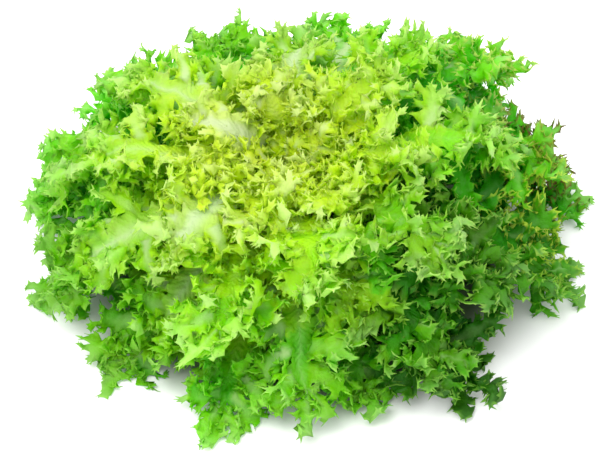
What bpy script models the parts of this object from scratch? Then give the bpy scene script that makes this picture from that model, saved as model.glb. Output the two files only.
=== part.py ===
"""A cut head of curly endive on its stem end: a crown, five whorls of lobed leaves and a pale heart.

Metres, +Z up. The origin is the centre of the cut stem face, which rests on the surface.

Every leaf is one sheet of triangles, thickened by a modifier. First the narrow blades of all leaves are laid
out along their ribs. Then lobes grow from their margins one by one, each turned or shortened until it stands
clear of everything that is there already, as the lobes of a real head squeeze past each other.
"""

import math
import random
from collections import namedtuple

import bmesh
import bpy
from mathutils import Vector
from mathutils.bvhtree import BVHTree

# Driving dimensions
HEAD_RADIUS = 0.162
HEAD_HEIGHT = 0.114
CROWN_RADIUS = 0.020
CUT_RADIUS = 0.0165
CROWN_WAIST_Z = 0.008
CROWN_RISE = 0.038
CROWN_TOP_Z = 0.042
CROWN_SIDES = 24
CROWN_LEVELS = 9
RIB_THICKNESS = 0.0026
LEAFLET_RIB_THICKNESS = 0.0016
BLADE_THICKNESS = 0.0009
PIECE_GAP = 0.0003
FLOOR_CLEARANCE = 0.0013
LEAF_SEED = 7600

# The head isn't quite round. Its leaves reach further on +X. Each bump of its outline has an azimuth and a
# width in degrees, and how much further or less far the leaves there reach. Towards one azimuth they stand
# higher.
REACH_LEAN = 0.06
BUMPS = (
    (-90, 50, -0.13),
    (100, 38, -0.11),
    (190, 30, 0.04),
    (40, 20, 0.14),
    (-98, 12, 0.10),
    (-122, 10, -0.10),
    (-75, 10, -0.12),
)
LIFT = 0.06
LIFT_AZIMUTH = 40

# The head leans towards -Y. Nothing shifts at the crown's top, and a leaf as tall as the head shifts this far.
HEAD_LEAN = 0.035
LEAN_POWER = 1.5

# Shares of a leaf's length where its lobes begin and end, and how far the extra thickness of its rib and of
# its stalk's margins runs
BLADE_START = 0.27
BLADE_END = 0.96
RIB_REACH = 0.90
STALK_REACH = 0.35

# A leaf's cross-section: how much the stalk keeps of its width, what the rib loses along the blade, how full
# the blade's lance shape is, how far the margins stand above the rib as a share of the half width, and their
# wave
STALK_TAPER = 0.62
RIB_TAPER = 0.70
LANCE_POWER = 0.80
MARGIN_LIFT = 0.24
WAVE_TURN = 1.9
LEAF_WAVE = 0.0028
LEAFLET_WAVE = 0.001

# How straight a rib leaves the crown and arrives at its tip, as shares of the way between them
RIB_LEAVING = 0.45
RIB_ARRIVING = 0.40

# How much the leaves of a whorl differ: in azimuth (degrees), reach (share), height and sideways sway
TURN_JITTER = 2
REACH_JITTER = (0.95, 1.03)
HEIGHT_JITTER = 0.003
SWAY_JITTER = 0.014

# A whorl's seat is a height on the crown. Its tip is a share of the head's radius and height. Rise and fall
# are the angles in degrees at which the rib leaves the crown and comes down at its tip.
Whorl = namedtuple(
    "Whorl", "name count turn seat tip_reach tip_height rise fall half_stalk half_blade lobe lobes"
)
WHORLS = (
    Whorl("outer_leaf", 12, 15, 0.009, 1.00, 0.03, 28, 36, 0.0048, 0.0083, 0.030, 7),
    Whorl("spreading_leaf", 11, 8, 0.0165, 0.97, 0.27, 46, 42, 0.0048, 0.0083, 0.030, 7),
    Whorl("arching_leaf", 10, 0, 0.0240, 0.90, 0.55, 60, 42, 0.0048, 0.0079, 0.028, 7),
    Whorl("upper_leaf", 8, 5, 0.0310, 0.70, 0.86, 70, 32, 0.0045, 0.0071, 0.026, 6),
    Whorl("inner_leaf", 7, 49, 0.0372, 0.44, 0.95, 78, 12, 0.0038, 0.0060, 0.021, 5),
)

# The heart: a small core that its leaflets stand out of, ring by ring. The core is widest at its belly.
HEART_BASE_RADIUS = 0.0080
HEART_RADIUS = 0.0105
HEART_SHOULDER_RADIUS = 0.0065
HEART_BELLY_Z = 0.050
HEART_SHOULDER_Z = 0.058
HEART_TOP_Z = 0.060
HEART_SIDES = 14
HEART_SUNK = 0.0035
Ring = namedtuple("Ring", "count turn radius height rise length half_stalk half_blade lobe lobes")
HEART_RINGS = (
    Ring(7, 75, 0.0085, 0.0500, 71, 0.050, 0.0026, 0.0041, 0.0170, 4),
    Ring(5, 20, 0.0055, 0.0560, 78, 0.038, 0.0024, 0.0036, 0.0150, 4),
    Ring(3, 50, 0.0022, 0.0580, 86, 0.028, 0.0020, 0.0030, 0.0110, 3),
)
LEAFLET_SEED_STEP = 500
LEAFLET_TURN_JITTER = 3
LEAFLET_LENGTH_JITTER = (0.92, 1.05)
LEAFLET_LEAN = 0.08
LEAFLET_BEND = (4, -50)

# Lobes, in degrees: the angle to the rib at the stalk and at the tip, the tilt out of the blade, the slant of
# the two sides towards each other and the twist from one tooth to the other. The notch and the near tooth are
# shares of the length.
LOBE_FIRST_ANGLE = 84
LOBE_LAST_ANGLE = 60
LOBE_TILT = 36
LOBE_SLANT = 12
LOBE_TWIST = 20
LOBE_NOTCH = 0.62
NEAR_TOOTH = 0.90

# The leaf's end: its length as a share of a lobe's, its droop and wave, and each point round it as a
# direction in degrees and a share of the length
TIP_LENGTH = 0.80
TIP_DROOP = (-0.3, 0.2)
TIP_WAVE = 0.12
TIP_WAVES = 7
TIP_POINTS = ((-38, 0.80), (-19, 0.58), (0, 1.0), (19, 0.58), (38, 0.80))

# A lobe is tried this often, each time shorter by this share. The gaps that it keeps are between the middles
# of the sheets: from a whorl's lobe to other leaves, from a leaflet's lobe to them, and from any lobe to its
# own leaf. A lobe is compared with its own leaf without the skin round each triangle, and with its root drawn
# in.
LOBE_TRIES = 10
LOBE_SHRINK = 0.9
LEAF_GAP = 0.0024
LEAFLET_GAP = 0.0014
OWN_GAP = 0.0012
OWN_SKIN = 0.05
OWN_DRAWN_IN = 0.5
LEAF_BUILD = (LEAF_WAVE, RIB_THICKNESS, LEAF_GAP)
LEAFLET_BUILD = (LEAFLET_WAVE, LEAFLET_RIB_THICKNESS, LEAFLET_GAP)

PALE_HEART = (0.62, 0.66, 0.16)
CREAM = (0.78, 0.74, 0.52)
LEAF_COLOURS = {
    "outer_leaf": (0.09, 0.30, 0.02),
    "spreading_leaf": (0.17, 0.40, 0.03),
    "arching_leaf": (0.26, 0.50, 0.04),
    "upper_leaf": (0.38, 0.58, 0.07),
    "inner_leaf": (0.50, 0.63, 0.11),
}


def clear_scene():
    for old in list(bpy.data.objects):
        bpy.data.objects.remove(old, do_unlink=True)


def make_material(name, colour, roughness):
    made = bpy.data.materials.new(name)
    made.use_nodes = True
    shader = made.node_tree.nodes["Principled BSDF"]
    shader.inputs["Base Color"].default_value = (*colour, 1)
    shader.inputs["Roughness"].default_value = roughness
    shader.inputs["Metallic"].default_value = 0
    return made


def add_object(name, mesh, material, collection=None):
    made = bpy.data.objects.new(name, mesh)
    made.data.materials.append(material)
    (collection or bpy.context.scene.collection).objects.link(made)
    return made


# The crown


def crown_radius(z):
    """The crown narrows to its cut end below the waist and rounds over to its top above it."""
    if z < CROWN_WAIST_Z:
        share = (CROWN_WAIST_Z - z) / CROWN_WAIST_Z
        return CROWN_RADIUS - (CROWN_RADIUS - CUT_RADIUS) * share**2
    share = (z - CROWN_WAIST_Z) / CROWN_RISE
    return CROWN_RADIUS * math.sqrt(1 - share**2)


def crown_normal(z):
    """The outward normal of the crown's side at that height, as (radial, vertical)."""
    step = 0.0005
    slope = (crown_radius(z + step) - crown_radius(z - step)) / (2 * step)
    return Vector((1, -slope)).normalized()


def turned_solid(name, profile, sides, material):
    """A closed solid of revolution from (radius, height) points, from the axis at the top to it below."""
    mesh = bpy.data.meshes.new(name)
    points = [(radius, 0, height) for radius, height in profile]
    edges = [(i, i + 1) for i in range(len(points) - 1)]
    mesh.from_pydata(points, edges, [])
    made = add_object(name, mesh, material)
    screw = made.modifiers.new("turn", "SCREW")
    screw.steps = screw.render_steps = sides
    screw.use_merge_vertices = True
    screw.merge_threshold = 0.00005
    screw.use_smooth_shade = True
    return made


def build_crown(material):
    heights = [CROWN_TOP_Z * (1 - i / CROWN_LEVELS) for i in range(CROWN_LEVELS + 1)]
    side = [(crown_radius(z), z) for z in heights]
    return turned_solid("crown", [(0, CROWN_TOP_Z), *side, (0, 0)], CROWN_SIDES, material)


# Ribs


def reach_round_head(azimuth):
    """How far leaves reach at that azimuth, as a share of the head's radius."""
    reach = 1 + REACH_LEAN * math.cos(azimuth)
    for middle, width, height in BUMPS:
        away = (math.degrees(azimuth) - middle + 180) % 360 - 180
        reach += height * math.exp(-((away / width) ** 2))
    return reach


def lift_round_head(azimuth):
    """How high leaves stand at that azimuth, as a share of their whorl's height."""
    return 1 + LIFT * math.cos(azimuth - math.radians(LIFT_AZIMUTH))


def lean_at(height):
    """How the leaning head is shifted at that height."""
    share = max(0.0, height - CROWN_TOP_Z) / (HEAD_HEIGHT - CROWN_TOP_Z)
    return Vector((0, -HEAD_LEAN * share**LEAN_POWER, 0))


def cubic(points, t):
    """A cubic Bezier curve's point at t."""
    a, b, c, d = points
    s = 1 - t
    return a * s**3 + b * 3 * s * s * t + c * 3 * s * t * t + d * t**3


def rib_handles(start, end, rise, fall):
    """A rib's four Bezier points in the (radial, vertical) plane."""
    chord = (end - start).length
    up, down = math.radians(rise), math.radians(fall)
    leaving = Vector((math.cos(up), math.sin(up))) * (RIB_LEAVING * chord)
    arriving = Vector((math.cos(down), -math.sin(down))) * (RIB_ARRIVING * chord)
    return start, start + leaving, end - arriving, end


Station = namedtuple("Station", "share centre along across up")


def stations_along(handles, azimuth, sway, shares):
    """Places along a rib, each with its axes: along the rib, across the blade and up off its face."""
    outward = Vector((math.cos(azimuth), math.sin(azimuth), 0))
    sideways = Vector((-math.sin(azimuth), math.cos(azimuth), 0))

    def place(t):
        flat = cubic(handles, t)
        return outward * flat.x + sideways * (sway * t * t) + Vector((0, 0, flat.y)) + lean_at(flat.y)

    found = []
    step = 0.01
    for share in shares:
        along = (place(share + step) - place(share - step)).normalized()
        across = (sideways - along * sideways.dot(along)).normalized()
        found.append(Station(share, place(share), along, across, along.cross(across)))
    return found


# Blades


Blade = namedtuple("Blade", "half_stalk half_blade lobe lobes wave rib_thickness gap")


class Leaf:
    """A leaf while it grows: its sheet, the rows of its narrow blade, and its triangles as corner points."""

    def __init__(self, name, material, stations, blade, rng):
        self.name = name
        self.material = material
        self.stations = stations
        self.blade = blade
        self.rng = rng
        self.sheet = bmesh.new()
        self.rows = []
        self.triangles = []

    def add_point(self, point):
        return self.sheet.verts.new(off_floor(point))

    def add_face(self, corners):
        self.sheet.faces.new(corners)
        self.triangles.append(tuple(corner.co.copy() for corner in corners))


def off_floor(point):
    """A point that would meet the surface is bent up clear of it."""
    return Vector((point.x, point.y, max(point.z, FLOOR_CLEARANCE)))


def past_stalk(share):
    return (share - BLADE_START) / (1 - BLADE_START)


def half_width(share, blade):
    """Half the blade's width without its lobes: a tapering stalk that widens into a lance shape."""
    if share < BLADE_START:
        return blade.half_stalk * (1 - (1 - STALK_TAPER) * share / BLADE_START)
    along = past_stalk(share)
    lance = blade.half_blade * math.sin(math.pi * along) ** LANCE_POWER
    return blade.half_stalk * STALK_TAPER * (1 - RIB_TAPER * along) + lance


def blade_shares(lobes):
    """Where the blade's rows lie: the stalk in two steps, then one step for each pair of lobes."""
    stalk = [BLADE_START * i / 2 for i in range(2)]
    return stalk + [BLADE_START + (BLADE_END - BLADE_START) * i / lobes for i in range(lobes + 1)]


def add_blade(leaf):
    """The narrow blade: a rib row with a raised margin on each side, waved along its length."""
    for i, at in enumerate(leaf.stations):
        half = half_width(at.share, leaf.blade)
        wave = at.up * (leaf.blade.wave * at.share * math.sin(WAVE_TURN * i))
        edge = at.up * (MARGIN_LIFT * half)
        left = at.centre - at.across * half + edge + wave
        right = at.centre + at.across * half + edge - wave
        leaf.rows.append([leaf.add_point(point) for point in (left, at.centre, right)])
    for (a, b, c), (d, e, f) in zip(leaf.rows, leaf.rows[1:]):
        for corners in ((e, b, a), (d, e, a), (f, c, b), (e, f, b)):
            leaf.add_face(corners)


# Lobes


def direction(station, angle, tilt):
    """A direction off the rib: so many degrees from along it towards +across, then tilted up off it."""
    turn, rise = math.radians(angle), math.radians(tilt)
    level = station.along * math.cos(turn) + station.across * math.sin(turn)
    return level * math.cos(rise) + station.up * math.sin(rise)


def lobe_points(near, far, station, side, length, tilt, twist):
    """A lobe's near tooth, notch and far tooth. Its sides slant together, off the next lobe."""
    angle = LOBE_FIRST_ANGLE + (LOBE_LAST_ANGLE - LOBE_FIRST_ANGLE) * past_stalk(station.share)
    ahead = direction(station, side * (angle + LOBE_SLANT), tilt - twist)
    back = direction(station, side * (angle - LOBE_SLANT), tilt + twist)
    far_tooth = far + ahead * length
    near_tooth = near + back * (NEAR_TOOTH * length)
    notch = (near + far) / 2 + (ahead + back) * (0.5 * LOBE_NOTCH * length)
    return off_floor(near_tooth), off_floor(notch), off_floor(far_tooth)


def lobe_triangles(near, far, teeth, side):
    near_tooth, notch, far_tooth = teeth
    fan = ((near, near_tooth, notch), (near, notch, far), (far, notch, far_tooth))
    return [corners if side < 0 else corners[::-1] for corners in fan]


def tree_of(triangles):
    points = [corner for triangle in triangles for corner in triangle]
    return BVHTree.FromPolygons(points, [(i, i + 1, i + 2) for i in range(0, len(points), 3)])


def spots_on(triangle):
    a, b, c = triangle
    return a, b, c, (a + b) / 2, (b + c) / 2, (c + a) / 2, (a + b + c) / 3


def crosses(triangles, tree, gap):
    """Whether triangles, or copies of them on either side, cut through the tree."""
    for shift in (-gap, 0, gap):
        moved = []
        for a, b, c in triangles:
            by = (b - a).cross(c - a).normalized() * shift
            moved.append((a + by, b + by, c + by))
        if tree.overlap(tree_of(moved)):
            return True
    return False


def is_clear(triangles, tree, gap):
    """Whether triangles keep that gap to all that is in the tree, on both faces and round their edges."""
    if crosses(triangles, tree, gap):
        return False
    spots = [spot for triangle in triangles for spot in spots_on(triangle)]
    return all(tree.find_nearest(spot, gap)[0] is None for spot in spots)


def drawn_in(triangles, share):
    """Each triangle drawn in towards its own middle, so that it leaves the corners that it shares."""
    return [drawn_to([corners], sum(corners, Vector()) / 3, share)[0] for corners in triangles]


def drawn_to(triangles, point, share):
    """Triangles drawn in towards one point, so that a lobe's outer half leaves its root."""
    return [tuple(corner.lerp(point, share) for corner in corners) for corners in triangles]


def suits_own_leaf(triangles, notch, own):
    """Whether a new lobe or leaf end neither cuts its own leaf nor lies against it."""
    if crosses(drawn_in(triangles, OWN_SKIN), own, BLADE_THICKNESS):
        return False
    return is_clear(drawn_to(triangles, notch, OWN_DRAWN_IN), own, OWN_GAP)


def lobe_length(share, blade):
    """Lobes are half length at the stalk, full length past the middle and shorter again at the tip."""
    return blade.lobe * (0.5 + 0.5 * math.sin(math.pi * (0.12 + 0.80 * past_stalk(share))))


def grow_lobe(leaf, index, side, lean, others):
    """Adds one lobe, turned or shortened until it is clear. Where none fits, the margin stays bare."""
    column = 1 + side
    near, far = leaf.rows[index][column], leaf.rows[index + 1][column]
    station = leaf.stations[index]
    own = tree_of(leaf.triangles)
    for attempt in range(LOBE_TRIES):
        way = lean if attempt % 2 == 0 else -lean
        tilt = way * LOBE_TILT * leaf.rng.uniform(0.4, 1.3)
        twist = leaf.rng.uniform(-LOBE_TWIST, LOBE_TWIST)
        length = lobe_length(station.share, leaf.blade) * leaf.rng.uniform(0.9, 1.1) * LOBE_SHRINK**attempt
        teeth = lobe_points(near.co, far.co, station, side, length, tilt, twist)
        triangles = lobe_triangles(near.co, far.co, teeth, side)
        if suits_own_leaf(triangles, teeth[1], own) and is_clear(triangles, others, leaf.blade.gap):
            made = [leaf.add_point(point) for point in teeth]
            for corners in lobe_triangles(near, far, made, side):
                leaf.add_face(corners)
            return


def grow_tip(leaf, others):
    """The toothed end of the blade, as a fan round the last point of the rib."""
    left, centre, right = leaf.rows[-1]
    station = leaf.stations[-1]
    own = tree_of(leaf.triangles)
    for attempt in range(LOBE_TRIES):
        length = TIP_LENGTH * leaf.blade.lobe * LOBE_SHRINK**attempt
        droop = leaf.rng.uniform(*TIP_DROOP)
        rim = []
        for degrees, share in TIP_POINTS:
            way = direction(station, degrees, 0)
            lift = station.up * (droop * share + TIP_WAVE * math.cos(math.radians(TIP_WAVES * degrees)))
            rim.append(off_floor(station.centre + (way * share + lift) * length))
        edge = [left.co, *rim, right.co]
        triangles = [(centre.co, first, second) for first, second in zip(edge, edge[1:])]
        if suits_own_leaf(triangles, rim[2], own) and is_clear(triangles, others, leaf.blade.gap):
            corners = [left, *(leaf.add_point(point) for point in rim), right]
            for first, second in zip(corners, corners[1:]):
                leaf.add_face((centre, first, second))
            return


def grow_lobes(leaves):
    """Lobes for every leaf, in turn round the whorls, each clear of all other leaves."""
    for leaf in leaves:
        others = tree_of([triangle for other in leaves if other is not leaf for triangle in other.triangles])
        grow_tip(leaf, others)
        first = len(leaf.rows) - 1 - leaf.blade.lobes
        for i in range(leaf.blade.lobes):
            for side in (-1, 1):
                lean = side if i % 2 else -side
                grow_lobe(leaf, first + i, side, lean, others)


def thickened(leaf, collection=None):
    """The leaf as an object, thick at the base of its rib and thin at its margins."""
    mesh = bpy.data.meshes.new(leaf.name)
    leaf.sheet.to_mesh(mesh)
    leaf.sheet.free()
    made = add_object(leaf.name, mesh, leaf.material, collection)
    group = made.vertex_groups.new(name="rib")
    for i, at in enumerate(leaf.stations):
        for column in range(3):
            reach = RIB_REACH if column == 1 else STALK_REACH
            group.add([3 * i + column], max(0, 1 - at.share / reach), "REPLACE")
    solid = made.modifiers.new("thickness", "SOLIDIFY")
    solid.thickness = leaf.blade.rib_thickness
    solid.offset = 0
    solid.vertex_group = "rib"
    solid.thickness_vertex_group = BLADE_THICKNESS / leaf.blade.rib_thickness
    return made


# Whorls


def seat_point(whorl):
    """Where a rib starts, in the (radial, vertical) plane: the stalk's end only just clears the crown."""
    normal = crown_normal(whorl.seat)
    rise = math.radians(whorl.rise)
    up = Vector((-math.sin(rise), math.cos(rise)))
    stand_off = PIECE_GAP + 0.5 * RIB_THICKNESS * abs(up.dot(normal))
    return Vector((crown_radius(whorl.seat), whorl.seat)) + normal * stand_off


def lay_out_leaf(whorl, index, seed, material):
    rng = random.Random(seed)
    azimuth = math.radians(whorl.turn + 360 * index / whorl.count + rng.uniform(-TURN_JITTER, TURN_JITTER))
    reach = HEAD_RADIUS * whorl.tip_reach * reach_round_head(azimuth) * rng.uniform(*REACH_JITTER)
    height = HEAD_HEIGHT * whorl.tip_height * lift_round_head(azimuth)
    height += rng.uniform(-HEIGHT_JITTER, HEIGHT_JITTER)
    height = max(FLOOR_CLEARANCE, height)
    sway = rng.uniform(-SWAY_JITTER, SWAY_JITTER)
    handles = rib_handles(seat_point(whorl), Vector((reach, height)), whorl.rise, whorl.fall)
    blade = Blade(whorl.half_stalk, whorl.half_blade, whorl.lobe, whorl.lobes, *LEAF_BUILD)
    stations = stations_along(handles, azimuth, sway, blade_shares(blade.lobes))
    leaf = Leaf(f"{whorl.name}_{index + 1:02d}", material, stations, blade, rng)
    add_blade(leaf)
    return leaf


def lay_out_whorls():
    leaves = []
    for whorl in WHORLS:
        material = make_material(whorl.name, LEAF_COLOURS[whorl.name], 0.45)
        for index in range(whorl.count):
            leaves.append(lay_out_leaf(whorl, index, LEAF_SEED + len(leaves), material))
    return leaves


# The heart


def lay_out_leaflet(ring, index, number, material):
    rng = random.Random(LEAF_SEED + LEAFLET_SEED_STEP + number)
    jitter = rng.uniform(-LEAFLET_TURN_JITTER, LEAFLET_TURN_JITTER)
    azimuth = math.radians(ring.turn + 360 * index / ring.count + jitter)
    rise = math.radians(ring.rise)
    way = Vector((math.cos(rise), math.sin(rise)))
    start = Vector((ring.radius, ring.height)) - way * HEART_SUNK
    length = ring.length * rng.uniform(*LEAFLET_LENGTH_JITTER)
    end = start + way * length + Vector((LEAFLET_LEAN * ring.length, 0))
    steeper, arrival = LEAFLET_BEND
    handles = rib_handles(start, end, ring.rise + steeper, arrival)
    blade = Blade(ring.half_stalk, ring.half_blade, ring.lobe, ring.lobes, *LEAFLET_BUILD)
    stations = stations_along(handles, azimuth, 0, blade_shares(blade.lobes))
    leaf = Leaf(f"leaflet_{number}", material, stations, blade, rng)
    add_blade(leaf)
    return leaf


def lay_out_leaflets(material):
    leaflets = []
    for ring in HEART_RINGS:
        for index in range(ring.count):
            leaflets.append(lay_out_leaflet(ring, index, len(leaflets) + 1, material))
    return leaflets


def build_core(material):
    base = CROWN_TOP_Z + PIECE_GAP
    shoulder = (HEART_SHOULDER_RADIUS, HEART_SHOULDER_Z)
    belly = (HEART_RADIUS, HEART_BELLY_Z)
    profile = [(0, HEART_TOP_Z), shoulder, belly, (HEART_BASE_RADIUS, base), (0, base)]
    return turned_solid("heart", profile, HEART_SIDES, material)


def apply_modifiers(made):
    graph = bpy.context.evaluated_depsgraph_get()
    mesh = bpy.data.meshes.new_from_object(made.evaluated_get(graph))
    made.modifiers.clear()
    made.data = mesh


def build_heart(leaflets, material):
    """The core and its leaflets as one body, because they grow together."""
    core = build_core(material)
    collection = bpy.data.collections.new("heart_leaflets")
    bpy.context.scene.collection.children.link(collection)
    for leaflet in leaflets:
        thickened(leaflet, collection)
    union = core.modifiers.new("leaflets", "BOOLEAN")
    union.operation = "UNION"
    union.operand_type = "COLLECTION"
    union.collection = collection
    union.solver = "EXACT"
    bpy.context.view_layer.update()
    apply_modifiers(core)
    for leaflet in list(collection.objects):
        bpy.data.objects.remove(leaflet, do_unlink=True)
    bpy.data.collections.remove(collection)
    return core


def main():
    clear_scene()
    build_crown(make_material("cut_stem", CREAM, 0.6))
    heart_material = make_material("heart", PALE_HEART, 0.45)
    leaves = lay_out_whorls()
    leaflets = lay_out_leaflets(heart_material)
    grow_lobes(leaves + leaflets)
    for leaf in leaves:
        thickened(leaf)
    build_heart(leaflets, heart_material)


main()
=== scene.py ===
"""The looks of a cut head of curly endive: each leaf as one thin, finely cut sheet in its solid's place.

Metres, +Z up, in the part's own frame. The ribs, and the place, length and tilt of each main lobe, follow
the rules that the part's source grows its solids by. Lobes are ribbons with fingers and teeth on them.
"""

import math
import random
from collections import namedtuple

import bpy
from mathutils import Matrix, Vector, noise
from mathutils.kdtree import KDTree


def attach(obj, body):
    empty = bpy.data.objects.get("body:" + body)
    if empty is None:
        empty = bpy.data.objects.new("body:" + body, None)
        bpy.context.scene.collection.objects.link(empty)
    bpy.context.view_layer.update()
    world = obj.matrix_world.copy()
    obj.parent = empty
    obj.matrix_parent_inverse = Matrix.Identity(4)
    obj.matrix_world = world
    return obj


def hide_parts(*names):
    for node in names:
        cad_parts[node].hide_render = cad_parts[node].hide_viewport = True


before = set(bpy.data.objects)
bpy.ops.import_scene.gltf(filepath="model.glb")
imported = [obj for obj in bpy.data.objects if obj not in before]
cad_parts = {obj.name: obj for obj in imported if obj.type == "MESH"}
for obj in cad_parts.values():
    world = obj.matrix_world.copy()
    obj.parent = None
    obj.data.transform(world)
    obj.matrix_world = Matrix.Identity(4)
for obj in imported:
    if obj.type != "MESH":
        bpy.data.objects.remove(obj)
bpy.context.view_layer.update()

# The part's own measures and rules, as in its source
HEAD_RADIUS = 0.162
HEAD_HEIGHT = 0.114
CROWN_RADIUS = 0.020
CUT_RADIUS = 0.0165
CROWN_WAIST_Z = 0.008
CROWN_RISE = 0.038
CROWN_TOP_Z = 0.042
RIB_THICKNESS = 0.0026
PIECE_GAP = 0.0003
FLOOR_CLEARANCE = 0.0013
LEAF_SEED = 7600
REACH_LEAN = 0.06
BUMPS = (
    (-90, 50, -0.13), (100, 38, -0.11), (190, 30, 0.04), (40, 20, 0.14),
    (-98, 12, 0.10), (-122, 10, -0.10), (-75, 10, -0.12),
)
LIFT = 0.06
LIFT_AZIMUTH = 40
HEAD_LEAN = 0.035
LEAN_POWER = 1.5
BLADE_START = 0.27
BLADE_END = 0.96
STALK_TAPER = 0.62
RIB_TAPER = 0.70
LANCE_POWER = 0.80
MARGIN_LIFT = 0.24
WAVE_TURN = 1.9
LEAF_WAVE = 0.0028
RIB_LEAVING = 0.45
RIB_ARRIVING = 0.40
TURN_JITTER = 2
REACH_JITTER = (0.95, 1.03)
HEIGHT_JITTER = 0.003
SWAY_JITTER = 0.014
Whorl = namedtuple(
    "Whorl", "name count turn seat tip_reach tip_height rise fall half_stalk half_blade lobe lobes"
)
WHORLS = (
    Whorl("outer_leaf", 12, 15, 0.009, 1.00, 0.03, 28, 36, 0.0048, 0.0083, 0.030, 7),
    Whorl("spreading_leaf", 11, 8, 0.0165, 0.97, 0.27, 46, 42, 0.0048, 0.0083, 0.030, 7),
    Whorl("arching_leaf", 10, 0, 0.0240, 0.90, 0.55, 60, 42, 0.0048, 0.0079, 0.028, 7),
    Whorl("upper_leaf", 8, 5, 0.0310, 0.70, 0.86, 70, 32, 0.0045, 0.0071, 0.026, 6),
    Whorl("inner_leaf", 7, 49, 0.0372, 0.44, 0.95, 78, 12, 0.0038, 0.0060, 0.021, 5),
)
LOBE_FIRST_ANGLE = 84
LOBE_LAST_ANGLE = 60
LOBE_TILT = 36
TILT_UNEVEN = (0.4, 1.3)
LENGTH_UNEVEN = (0.9, 1.1)
LOBE_SWELL = (0.12, 0.80)
LOBE_SLANT = 12
LOBE_TWIST = 20
LOBE_NOTCH = 0.62
NEAR_TOOTH = 0.90
TIP_LENGTH = 0.80
TIP_DROOP = (-0.3, 0.2)
TIP_WAVE = 0.12
TIP_WAVES = 7
TIP_POINTS = ((-38, 0.80), (-19, 0.58), (0, 1.0), (19, 0.58), (38, 0.80))
LOBE_TRIES = 10
LOBE_SHRINK = 0.9

# A lobe's corner on the solid lies this near its rule's place
CORNER_MATCH = 0.0011

# Rows of points on the narrow blade, or band: for each lobe of the rule and on the stalk. Its columns.
ROWS_A_LOBE = 8
STALK_ROWS = 10
BAND_COLUMNS = (-1, -0.62, -0.26, 0, 0.26, 0.62, 1)

# The first and last row of the roots of lobes and slim lobes, and how many slim ones a side are left out
# near the stalk, where other leaves hide them
LOBE_ROOT = (1, 7)
FRILL_ROOT = (7, 9)
HIDDEN_ROWS = {"outer_leaf": 2, "spreading_leaf": 2, "arching_leaf": 1}

# How much of the solid's blade the fine blade keeps, from leaf to leaf: its lobes are cut deeper
BLADE_SHARE = (0.42, 0.72)

# The fine blade's width is uneven by this much, in so many waves along the rib
BLADE_UNEVEN = 0.25
BLADE_WAVES = 14

# Teeth on a finger: their width at the foot and their spacing, and, in spacings, where the first lies and
# how much longer than their number the finger is. The spacing of rows on a lobe.
TOOTH_BASE = 0.0016
TOOTH_SPACING = 0.0032
FIRST_TOOTH = 0.65
TOOTH_ROOM = 0.4
LOBE_ROW = 0.0025

# How much longer than on the solid a lobe and a leaf's end are, to make up for their curls
LOBE_REACH = 1.07
TIP_REACH = 1.35

# Leaves at the right whose lobes reach further still
LONG_LOBES = {
    "outer_leaf_11": 1.25,
    "outer_leaf_12": 1.10,
    "spreading_leaf_11": 1.12,
    "arching_leaf_10": 1.15,
}

# Thickness at the margins, at tooth tips, along the middle of lobes and on the ribs at their foot
MARGIN_THICKNESS = 0.0006
TOOTH_THICKNESS = 0.00025
LOBE_VEIN_THICKNESS = 0.0011
FINE_RIB_THICKNESS = 0.0034

# How much thinner the rib is at its end, the least share that stays, its share of the band's width on the
# blade, and how much more on the stalk
RIB_THINNING = 0.75
LEAST_RIB = 0.3
RIB_SHARE = 0.45
STALK_SHARE = 0.5

# How gently what would sink into the surface is lifted off it, and how low it may come
FLOOR_SOFTNESS = 0.004
LOWEST_Z = 0.0008

# Lines along stalks and slanting veins on blades, in radians a metre, and how far veins lean for each row
STALK_LINES = 3400
VEIN_LINES = 1500
VEIN_SLANT = 0.012

# A pale blade's ripples: how high, their turn for a row of the rule, and their lag across the blade
RIPPLE = 0.0020
RIPPLE_TURN = 9
RIPPLE_LAG = 3

# How pale the stalk is, and the blade's rib: at its foot, how much less at its end, and its fall across
STALK_PALE = 1.3
RIB_PALE = 0.6
RIB_PALE_LOSS = 0.5
RIB_PALE_POWER = 1.5

# How pale a pale blade is, how much more on its rib, how wide that is, and how much less at its margins
BLADE_PALE = 0.62
BLADE_RIB_PALE = 0.5
BLADE_RIB_WIDTH = 0.3
BLADE_PALE_LOSS = 0.2

# How light the band's margins are, as a share of how light a tooth is
BAND_EDGE = 0.15

# A ribbon: its length, the shares of it where its rows lie, its half widths at root, middle and end, its
# curl, bend and roll in degrees, its cup, and the height and number of its waves
Ribbon = namedtuple("Ribbon", "length shares root middle end curl bend roll cup ruffle waves")

# A ribbon's waves: a turn, how far one edge lags behind the other, and how fast they fade inwards
WAVE_CYCLE = 6.28
EDGE_LAG = 2.4
RUFFLE_POWER = 1.5

# How light the middle of a ribbon is, as a share of its edges
MIDDLE_EDGE = 0.4

# A finger: its half width at most and how uneven that is, its half width at the end, its curl, bend, roll,
# cup, ruffle and waves, and how pale and how light it is from root to end
FINGER_MIDDLE = 0.0023
FINGER_UNEVEN = (0.8, 1.15)
FINGER_END = 0.0013
FINGER_CURL = (-110, 140)
FINGER_BEND = 40
FINGER_ROLL = 80
FINGER_CUP = (-0.5, 0.8)
FINGER_RUFFLE = 0.0006
FINGER_WAVES = 0.9
FINGER_VEIN = (0.25, 0.0)
FINGER_EDGE = (0.35, 0.9)

# Teeth: how far they turn from the finger and lift, and their size, down its sides and at its end
TOOTH_TURN = (30, 65)
TOOTH_LIFT = (-35, 45)
TOOTH_SIZE = (0.5, 1.2)
END_TOOTH_TURN = 24
END_TOOTH_JITTER = 12
END_TOOTH_LIFT = (-25, 35)
END_TOOTH_SIZE = (0.7, 1.3)

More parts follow.
